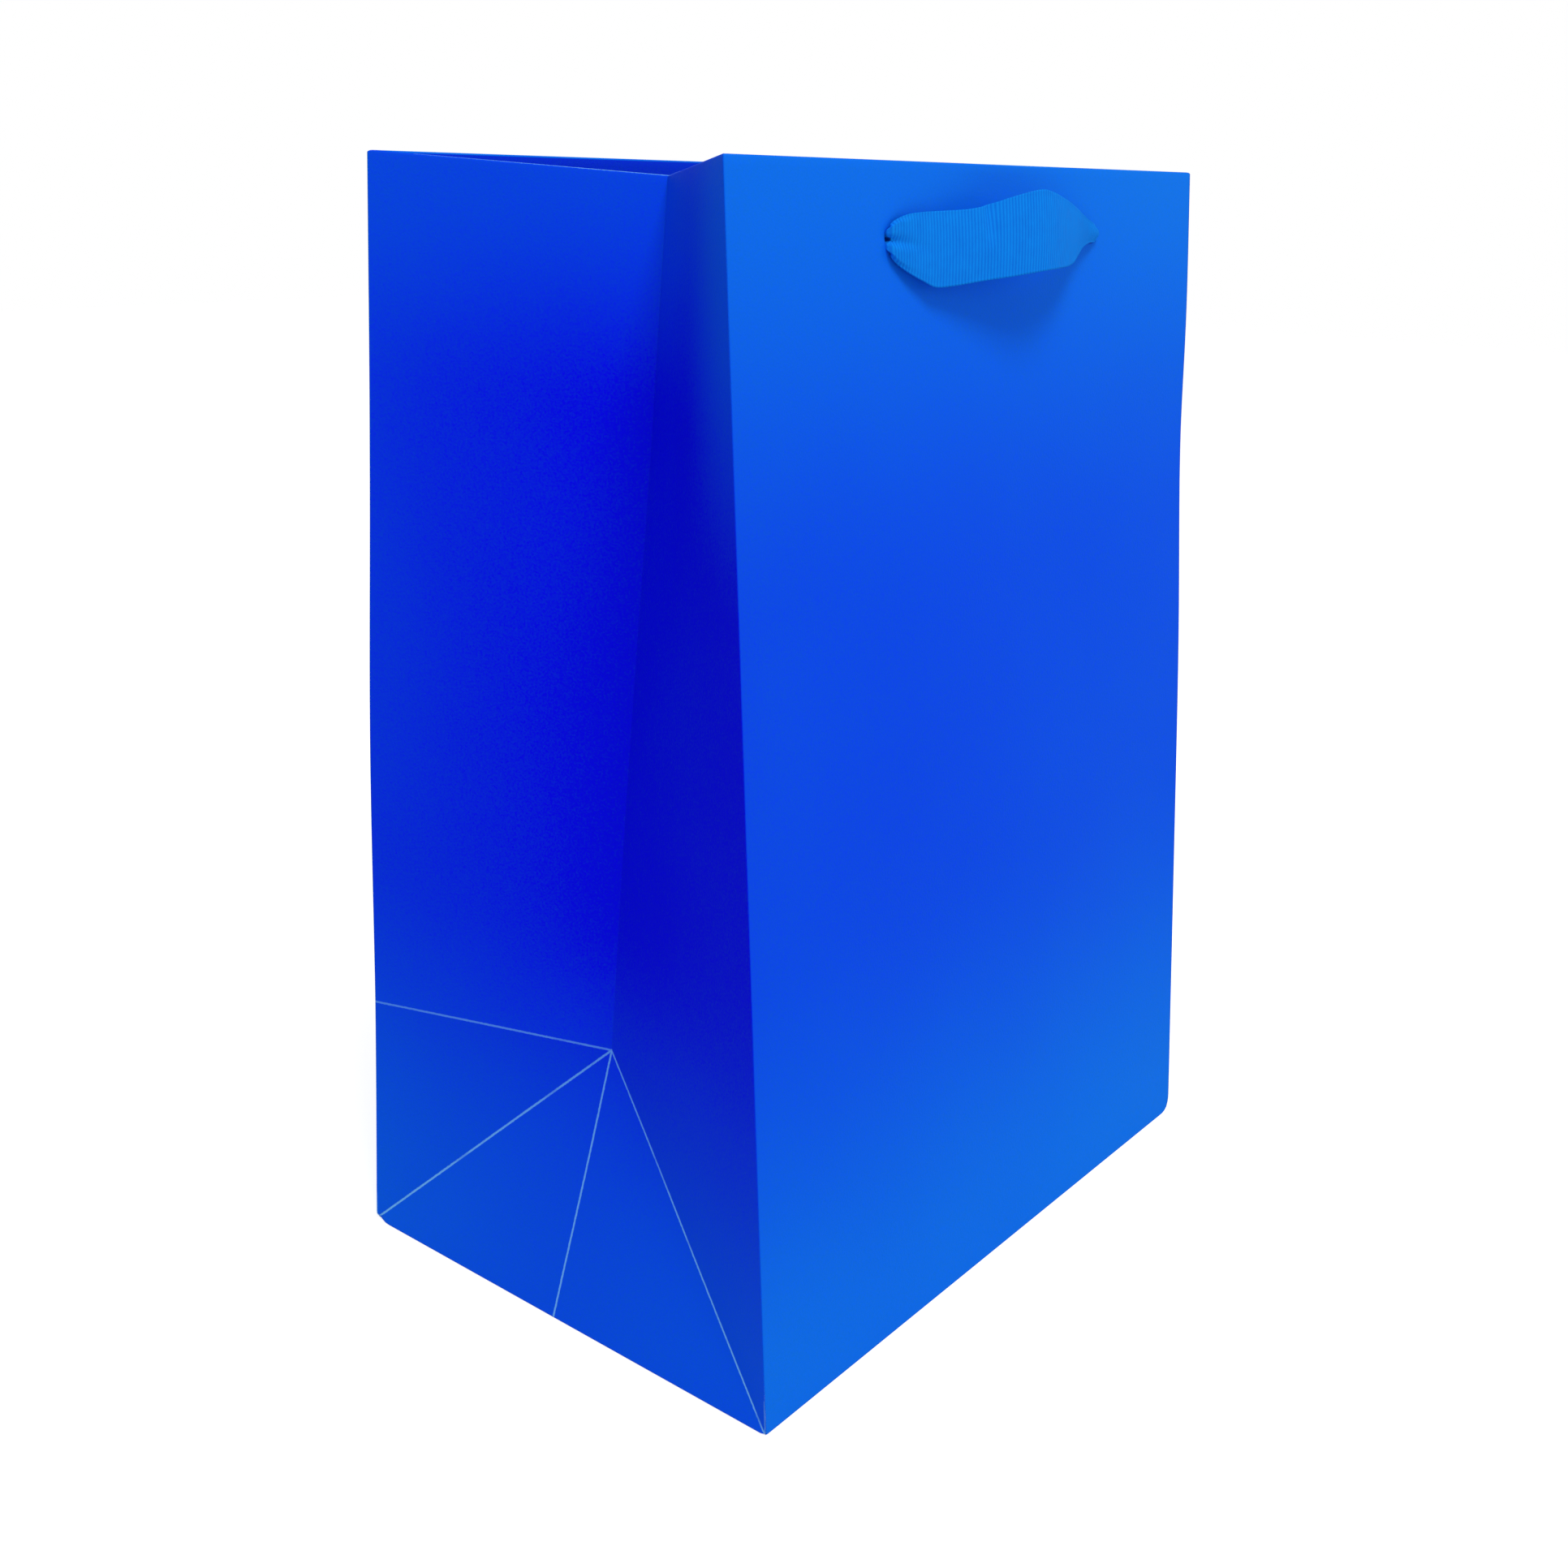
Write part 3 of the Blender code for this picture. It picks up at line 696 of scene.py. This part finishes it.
inside_crack = ranged(tree, maths(tree, "DIVIDE", distance, half_width), 1.15, 0.45)
patchy_wear = scaled(tree, wear, ranged(tree, patchy, 0.2, 0.5, 0.55, 1.0))
crack_share = scaled(tree, inside_crack, patchy_wear)
rough_crack = scaled(tree, crack_share, 0.3)
smooth_ink = ranged(tree, grain.outputs["Mottle"], 0.2, 0.8, 0.50, 0.62)
colour = mixed(tree, crack_share, ink_and_painted_shade, CRACK_PALE)
finished(tree, shader, colour, maths(tree, "ADD", smooth_ink, rough_crack, True))
relief = maths(tree, "SUBTRACT", scaled(tree, grain.outputs["Height"], 0.40), rough_crack)
bumped(tree, shader, relief, 0.5, 0.0004)
shader.inputs["Specular IOR Level"].default_value = 0.015

PLAIN_PAPER = (0.78, 0.78, 0.76)
PLAIN_PAPER_DARK = (0.66, 0.66, 0.64)
unprinted, tree, shader = new_material("unprinted_paper")
place = node(tree, "ShaderNodeTexCoord").outputs["Object"]
grain = fibre(tree, place, 1100.0)
colour = mixed(tree, grain.outputs["Mottle"], PLAIN_PAPER_DARK, PLAIN_PAPER)
finished(tree, shader, colour, ranged(tree, grain.outputs["Mottle"], 0.2, 0.8, 0.78, 0.92))
bumped(tree, shader, grain.outputs["Height"], 0.35, 0.0002)

attributes = {"crease_distance": near, "crease_wear": worn, "print_painted_shade": depth}
body_mesh = sheet_mesh("folded_sheet", handled(points), quads, attributes)
body = shown("folded_sheet", body_mesh, printed, unprinted)
thickened(body, PAPER - FLAP_GAP, 1)
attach(body, "root")
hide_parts("bag_body")


# Hem cards
# A strip of plain white card lies in the front hem and one in the back hem, and the ribbons pull on them.
# They are cut square and only held by the turned-in hem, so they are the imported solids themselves.
CARD_PALE = (0.80, 0.79, 0.76)
CARD_DARK = (0.66, 0.64, 0.60)
white_card, tree, shader = new_material("white_card_stock")
place = node(tree, "ShaderNodeTexCoord").outputs["Object"]
grain = fibre(tree, place, 700.0)
colour = mixed(tree, grain.outputs["Mottle"], CARD_DARK, CARD_PALE)
finished(tree, shader, colour, ranged(tree, grain.outputs["Mottle"], 0.2, 0.8, 0.82, 0.95))
for name in ("front_hem_card", "back_hem_card"):
    bpy.data.objects[name].material_slots[0].material = white_card


# Base board
# A loose sheet of grey board keeps the base flat. It is cut from recycled pulp, with darker fibres in it,
# and its corners have been pushed in together with the bag's.
BOARD_PALE = (0.56, 0.54, 0.50)
BOARD_DARK = (0.30, 0.28, 0.25)
board_low, board_high = (np.array(corner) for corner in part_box("base_board"))
board_x, board_y = np.meshgrid(
    graded(board_low[0], board_high[0], 60, 1.8), graded(board_low[1], board_high[1], 44, 1.8), indexing="ij"
)
board_place = np.stack([board_x, board_y, np.full_like(board_x, board_low[2])], axis=2).reshape(-1, 3)
board_quads = cells(np.arange(board_x.size).reshape(board_x.shape)).reshape(-1, 4)
grey_board, tree, shader = new_material("grey_pulp_board")
place = node(tree, "ShaderNodeTexCoord").outputs["Object"]
grain = fibre(tree, place, 500.0)
colour = mixed(tree, ranged(tree, grain.outputs["Height"], 0.30, 0.55), BOARD_DARK, BOARD_PALE)
finished(tree, shader, colour, ranged(tree, grain.outputs["Mottle"], 0.2, 0.8, 0.85, 0.97))
bumped(tree, shader, grain.outputs["Height"], 0.4, 0.0002)
board_mesh = sheet_mesh("base_board_sheet", handled(board_place), board_quads, {})
board = shown("base_board_sheet", board_mesh, grey_board)
thickened(board, board_high[2] - board_low[2])
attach(board, "root")
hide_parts("base_board")


# Ribbons
# Each handle is one 22 mm grosgrain ribbon, with weft ribs across it and slightly thicker woven edges.
# Its ends are bunched through two punched holes and knotted behind the hem, and short tails hang there.
RIBBON_FLAT = (0.022, 0.240)
RIBBON_THICKNESS = 0.00035
RIB_PITCH = 0.00117
ROWS_PER_RIB = 5
RIB_HEIGHT = 0.00012
EDGE_BEAD = 0.00012
EDGE_BEAD_WIDTH = 0.0005
THREAD_PITCH = 0.00035
PLEAT_ARC = RIBBON_FLAT[0] / 4
PLEAT_LIMIT = 0.0012
PLEAT_FADE = 0.006
KNOT_SPACING = 0.114
DENT_PLACE, DENT_REACH, DENT_DEPTH, DENT_FADE = -0.0185, 0.0022, 0.0016, 0.012
KNOT_IN = 0.0060
KNOT_SCALE = 0.00105
KNOT_TUBE = 0.00175
KNOT_PACE = 4.6 * KNOT_SCALE
STRAND_ARCH = 0.0005
TAIL_LENGTH = 0.026
TAIL_HALF_WIDTH = 0.008
TAIL_NECK = 0.0022
TAIL_SLANT = 0.0025
ribbon_columns = np.linspace(-1.0, 1.0, 41)

# The strand's rows in millimetres: along the panel, away from it, and its two edges below the top fold.
front_strand = np.array(
    [
        (-57.0, -6.0, 18.9, 22.1), (-57.0, -4.0, 18.8, 22.3), (-56.6, -2.2, 18.6, 22.5),
        (-55.9, -0.9, 18.5, 22.7), (-56.3, 0.3, 18.0, 23.5), (-56.1, 1.3, 16.9, 25.0),
        (-53.7, 1.9, 15.4, 27.3), (-49.0, 2.5, 14.1, 29.8), (-43.5, 3.1, 13.6, 32.1),
        (-38.5, 3.8, 13.4, 33.9), (-33.0, 4.9, 13.2, 33.9), (-26.6, 6.8, 12.9, 33.3),
        (-20.2, 8.9, 12.0, 32.6), (-12.0, 11.5, 9.9, 31.9), (-5.0, 13.5, 8.4, 31.2),
        (1.5, 14.6, 7.6, 30.6), (8.0, 14.5, 8.5, 30.2), (14.0, 13.4, 9.6, 29.9),
        (21.0, 11.6, 10.7, 29.5), (27.5, 9.6, 11.8, 28.6), (34.0, 7.5, 12.9, 26.4),
        (40.0, 5.6, 14.1, 24.2), (47.5, 3.6, 15.7, 22.9), (53.0, 2.5, 16.7, 22.6),
        (56.2, 1.6, 17.3, 22.5), (57.0, 0.7, 17.7, 22.4), (56.3, -0.4, 18.0, 22.4),
        (56.2, -1.6, 18.4, 22.4), (56.9, -3.6, 18.7, 22.3), (57.0, -6.0, 18.9, 22.1),
    ]
)
back_strand = (front_strand * (-1.0, 1.0, 1.0, 1.0))[::-1]


def smooth_path(rows, spacing):
    """A Catmull-Rom spline through rows of numbers, sampled evenly by the length of its first three."""
    padded = np.concatenate([2 * rows[:1] - rows[1:2], rows, 2 * rows[-1:] - rows[-2:-1]])
    before, start, end, after = (padded[shift : len(padded) - 3 + shift, None] for shift in range(4))
    t = np.linspace(0.0, 1.0, 20, endpoint=False)[None, :, None]
    bend = 2 * before - 5 * start + 4 * end - after + t * (3 * (start - end) + after - before)
    curve = (start + 0.5 * t * (end - before + t * bend)).reshape(-1, rows.shape[1])
    curve = np.concatenate([curve, rows[-1:]])
    steps = np.linalg.norm(np.diff(curve[:, :3], axis=0), axis=1)
    length = np.concatenate([[0.0], np.cumsum(steps)])
    stations = np.linspace(0.0, length[-1], round(length[-1] / spacing) + 1)
    return np.stack([np.interp(stations, length, column) for column in curve.T], axis=1), stations


def woven(stations, half_width):
    """Heights of the ribs and the woven edges: a cosine along the ribbon, and a bell curve at each edge."""
    ribs = 0.5 * RIB_HEIGHT * np.cos(2 * math.pi * stations / RIB_PITCH)
    from_edge = (1 - np.abs(ribbon_columns))[None, :] * half_width[:, None]
    return ribs[:, None] + EDGE_BEAD * np.exp(-((from_edge / EDGE_BEAD_WIDTH) ** 2))


def pleats(half_width, from_hole, pointed=0.0):
    """Heights of a bunched ribbon's folds: a narrow dent along its middle, and both edges turned in behind.

    They are as deep as the ribbon's spare width allows, and fade away from the hole. Where pointed is 1 there
    is no dent, and the edges fall away from the middle.
    """
    spare = np.sqrt(np.clip(PLEAT_ARC**2 - (half_width / 2) ** 2, 0.0, None)) / 2
    depth = np.minimum(spare, PLEAT_LIMIT) * np.exp(-np.clip(from_hole, 0.0, None) / PLEAT_FADE)
    dented = np.broadcast_to(1.0 - pointed, len(half_width))[:, None]
    folds = 0.7 - 1.9 * dented * bump_at(ribbon_columns, 0.0, 0.17)
    folds -= 1.8 * smoothly((np.abs(ribbon_columns) - 0.7 * dented) / (1 - 0.7 * dented))
    return depth[:, None] * folds


def strand_places(rows, dent_place):
    """Places of a strand's grid, as distances along the panel, away from it and below its top fold."""
    along, out, top, bottom = rows.T / 1000
    centre = np.stack([along, out, (top + bottom) / 2, (bottom - top) / 2], axis=1)
    path, stations = smooth_path(centre, RIB_PITCH / ROWS_PER_RIB)
    along, out, drop, half_width = path.T
    tangent = np.gradient(path[:, :2], axis=0)
    tangent /= np.linalg.norm(tangent, axis=1)[:, None]
    hole_way = np.sort(stations[out < 0.0])
    first_hole = hole_way[hole_way < stations[-1] / 2].max()
    last_hole = hole_way[hole_way > stations[-1] / 2].min()
    from_hole = np.minimum(stations - first_hole, last_hole - stations)
    pointed = smoothly(0.5 + along / 0.04)
    lift = pleats(half_width, from_hole, pointed) + woven(stations, half_width)
    below_top = (ribbon_columns + 1)[None, :] * half_width[:, None]
    dent = DENT_DEPTH * bump_at(along, dent_place, DENT_REACH)[:, None]
    lift -= dent * np.clip(1 - below_top / DENT_FADE, 0, 1)
    lift += STRAND_ARCH * (1 - ribbon_columns**2)[None, :] * smoothly(from_hole / 0.03)[:, None]
    # Where it is bunched, its lobes lie far apart and its edges turn in behind them.
    bunched = np.exp(-np.clip(from_hole, 0.0, None) / PLEAT_FADE)[:, None]
    lobes = np.sin(0.5 * math.pi * ribbon_columns)[None, :]
    spread = ribbon_columns[None, :] * (1 - bunched) + lobes * bunched
    grid = np.stack(
        [
            along[:, None] - lift * tangent[:, 1:2],
            out[:, None] + lift * tangent[:, 0:1],
            drop[:, None] + half_width[:, None] * spread,
        ],
        axis=2,
    )
    return grid, stations


def tail_places(hole_along, lean):
    """Places of a tail's grid: it opens from the knot as it hangs, and its end is cut on the slant."""
    share = np.linspace(0.0, 1.0, round(TAIL_LENGTH / RIB_PITCH * ROWS_PER_RIB))
    half_width = TAIL_NECK + (TAIL_HALF_WIDTH - TAIL_NECK) * smoothly(share * 1.25)
    stations = share * TAIL_LENGTH
    lift = pleats(half_width, stations) + woven(stations, half_width)
    out = -KNOT_IN - 0.0012 * np.sin(math.pi * share) - 0.0006 * share
    sway = hole_along + lean * share**2
    cut = TAIL_SLANT * np.sign(lean) * share[:, None] ** 3 * ribbon_columns[None, :]
    grid = np.stack(
        [
            sway[:, None] + half_width[:, None] * ribbon_columns[None, :],
            out[:, None] - lift,
            HOLE_DROP + 0.001 + stations[:, None] - cut,
        ],
        axis=2,
    )
    return grid, stations


def knot_places(hole_along, twist):
    """Places of an overhand knot's grid: a pleated tube round a trefoil curve."""
    t = np.linspace(0.0, 2 * math.pi, 97)
    phase = t + twist
    curve = KNOT_SCALE * np.stack(
        [
            np.sin(phase) + 2 * np.sin(2 * phase),
            -1.45 * np.sin(3 * phase),
            np.cos(phase) - 2 * np.cos(2 * phase),
        ],
        axis=1,
    )
    tangent = np.gradient(curve, axis=0)
    tangent /= np.linalg.norm(tangent, axis=1)[:, None]
    beside = np.cross(tangent, (0.0, 1.0, 0.0))
    beside /= np.linalg.norm(beside, axis=1)[:, None]
    above = np.cross(beside, tangent)
    turn = np.linspace(0.0, 2 * math.pi, len(ribbon_columns))
    radius = KNOT_TUBE * (1 + 0.10 * np.cos(5 * turn))
    tube = curve[:, None] + radius[None, :, None] * (
        np.cos(turn)[None, :, None] * beside[:, None] + np.sin(turn)[None, :, None] * above[:, None]
    )
    tube[-1] = tube[0]
    tube[:, -1] = tube[:, 0]
    return tube + (hole_along, -KNOT_IN, HOLE_DROP), t * KNOT_PACE


def rib_group():
    """Grosgrain: weft ribs along a ribbon's length and fine warp threads across it, from its own lengths."""
    group = bpy.data.node_groups.new("grosgrain_ribs", "ShaderNodeTree")
    group.interface.new_socket("Place", in_out="INPUT", socket_type="NodeSocketVector")
    group.interface.new_socket("Rib", in_out="OUTPUT", socket_type="NodeSocketFloat")
    group.interface.new_socket("Thread", in_out="OUTPUT", socket_type="NodeSocketFloat")
    start = group.nodes.new("NodeGroupInput")
    end = group.nodes.new("NodeGroupOutput")
    parts = node(group, "ShaderNodeSeparateXYZ", {0: start.outputs["Place"]})
    turns = scaled(group, parts.outputs["Y"], 2 * math.pi / RIB_PITCH)
    rib = maths(group, "MULTIPLY_ADD", maths(group, "COSINE", turns), 0.5)
    rib.node.inputs[2].default_value = 0.5
    threads = scaled(group, parts.outputs["X"], 2 * math.pi / THREAD_PITCH)
    thread = maths(group, "ABSOLUTE", maths(group, "SINE", threads))
    group.links.new(rib, end.inputs["Rib"])
    group.links.new(thread, end.inputs["Thread"])
    return group


RIBBON_BRIGHT = (0.005, 0.270, 0.92)
RIBBON_DARK_TONE_AND_RIB_SHADE = (0.003, 0.130, 0.70)
grosgrain, tree, shader = new_material("blue_grosgrain")
woven_place = node(tree, "ShaderNodeUVMap", uv_map="woven_place").outputs[0]
ribs = node(tree, "ShaderNodeGroup", node_tree=rib_group())
tree.links.new(woven_place, ribs.inputs["Place"])
place = node(tree, "ShaderNodeTexCoord").outputs["Object"]
cloudy = node(tree, "ShaderNodeTexNoise", {"Vector": place, "Scale": 260.0, "Detail": 3.0}).outputs[0]
rib, thread = ribs.outputs["Rib"], ribs.outputs["Thread"]
# The ribs' valleys are painted darker as painted shade; the threads and the cloudy noise give the weave's own
# darker and paler tone.
rib_shade_and_tone = maths(tree, "ADD", scaled(tree, rib, 0.55), scaled(tree, thread, 0.2))
rib_shade_and_tone = maths(tree, "ADD", rib_shade_and_tone, scaled(tree, cloudy, 0.45), True)
colour = mixed(tree, rib_shade_and_tone, RIBBON_DARK_TONE_AND_RIB_SHADE, RIBBON_BRIGHT)
finished(tree, shader, colour, ranged(tree, cloudy, 0.3, 0.7, 0.42, 0.55))
weave_height = maths(tree, "ADD", scaled(tree, thread, 0.5), scaled(tree, rib, 0.5))
bumped(tree, shader, weave_height, 0.5, 0.0001)
shader.inputs["Specular IOR Level"].default_value = 0.01

for node_name, strand, way, top_fold, panel_foot, dent_place in (
    ("front_ribbon", front_strand, 1.0, top_front, base_front, DENT_PLACE),
    ("back_ribbon", back_strand, -1.0, top_back, back_crease, -DENT_PLACE),
):
    along_axis = np.array([way, 0.0, 0.0])
    up_axis = (top_fold - panel_foot) * (0.0, 1.0, 1.0)
    up_axis /= np.linalg.norm(up_axis)
    in_axis = np.cross(up_axis, along_axis)
    origin = top_fold * (0.0, 1.0, 1.0)
    ribbon_points, ribbon_quads, ribbon_place = [], [], []
    for grid, stations in (
        strand_places(strand, dent_place),
        tail_places(-KNOT_SPACING / 2, -0.003),
        tail_places(KNOT_SPACING / 2, 0.002),
        knot_places(-KNOT_SPACING / 2, 0.4),
        knot_places(KNOT_SPACING / 2, 1.3),
    ):
        place = origin + grid[..., :1] * along_axis - grid[..., 1:2] * in_axis - grid[..., 2:] * up_axis
        start_number = sum(len(part) for part in ribbon_points)
        numbers = start_number + np.arange(grid[..., 0].size).reshape(grid.shape[:2])
        ribbon_quads.append(cells(numbers).reshape(-1, 4))
        ribbon_points.append(place.reshape(-1, 3))
        # The fine threads keep their number across the ribbon where it is bunched.
        thread_place = np.meshgrid(0.5 * RIBBON_FLAT[0] * ribbon_columns, stations)
        ribbon_place.append(np.stack(thread_place, axis=2).reshape(-1, 2))
    parts = (ribbon_points, ribbon_quads, ribbon_place)
    ribbon_points, ribbon_quads, ribbon_place = map(np.concatenate, parts)
    first, inverse = shared_places(ribbon_points)
    mesh = sheet_mesh(node_name + "_cloth", ribbon_points[first], inverse[ribbon_quads], {})
    corner_place = ribbon_place[ribbon_quads].astype(np.float32)
    mesh.uv_layers.new(name="woven_place").data.foreach_set("uv", corner_place.ravel())
    ribbon = shown(node_name + "_cloth", mesh, grosgrain)
    thickened(ribbon, RIBBON_THICKNESS, even=False)
    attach(ribbon, "root")
    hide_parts(node_name)


# Stage
# A pale floor and an even white surround, with soft lamps above the front.
FLOOR_HALF = 4.0
LAMP_TARGET = np.array((0.0, 0.0, 0.2))
floor_mesh = bpy.data.meshes.new("floor")
floor_corners = [(x * FLOOR_HALF, y * FLOOR_HALF, 0.0) for x, y in ((-1, -1), (1, -1), (1, 1), (-1, 1))]
floor_mesh.from_pydata(floor_corners, [], [(0, 1, 2, 3)])
floor_material, tree, shader = new_material("white_floor")
shader.inputs["Base Color"].default_value = (0.85, 0.85, 0.85, 1.0)
shader.inputs["Roughness"].default_value = 0.7
floor = shown("floor", floor_mesh, floor_material)
output = tree.nodes["Material Output"]
glow = node(tree, "ShaderNodeEmission", {"Color": (1, 1, 1, 1), "Strength": 0.62})
both = node(tree, "ShaderNodeAddShader")
tree.links.new(shader.outputs[0], both.inputs[0])
tree.links.new(glow.outputs[0], both.inputs[1])
seen = node(tree, "ShaderNodeLightPath").outputs["Is Camera Ray"]
choice = node(tree, "ShaderNodeMixShader", {"Fac": seen})
tree.links.new(shader.outputs[0], choice.inputs[1])
tree.links.new(both.outputs[0], choice.inputs[2])
tree.links.new(choice.outputs[0], output.inputs["Surface"])

world = bpy.data.worlds.new("white_surround")
bpy.context.scene.world = world
world.use_nodes = True
tree = world.node_tree
background = tree.nodes["Background"]
background.inputs["Color"].default_value = (1, 1, 1, 1)
path = node(tree, "ShaderNodeLightPath")
seen = maths(tree, "MAXIMUM", path.outputs["Is Camera Ray"], path.outputs["Is Transmission Ray"])
strength = node(tree, "ShaderNodeMapRange", {"Value": seen, "To Min": 0.48, "To Max": 1.0}).outputs["Result"]
tree.links.new(strength, background.inputs["Strength"])


def soft_lamp(name, place, size, power):
    """A square area lamp at place that faces the bag."""
    data = bpy.data.lights.new(name, "AREA")
    data.size = size
    data.energy = power
    lamp = bpy.data.objects.new(name, data)
    bpy.context.scene.collection.objects.link(lamp)
    away = place - LAMP_TARGET
    away /= np.linalg.norm(away)
    sideways = np.cross((0.0, 0.0, 1.0), away)
    sideways /= np.linalg.norm(sideways)
    turned = np.eye(4)
    turned[:3, :3] = np.stack([sideways, np.cross(away, sideways), away], axis=1)
    turned[:3, 3] = place
    lamp.matrix_world = Matrix(turned.tolist())


soft_lamp("key_lamp", (-0.55, -0.85, 1.70), 0.50, 15.5)
soft_lamp("right_lamp", (1.20, -1.00, 0.60), 0.60, 3.0)
bpy.context.scene.view_settings.view_transform = "Standard"

bpy.context.view_layer.update()
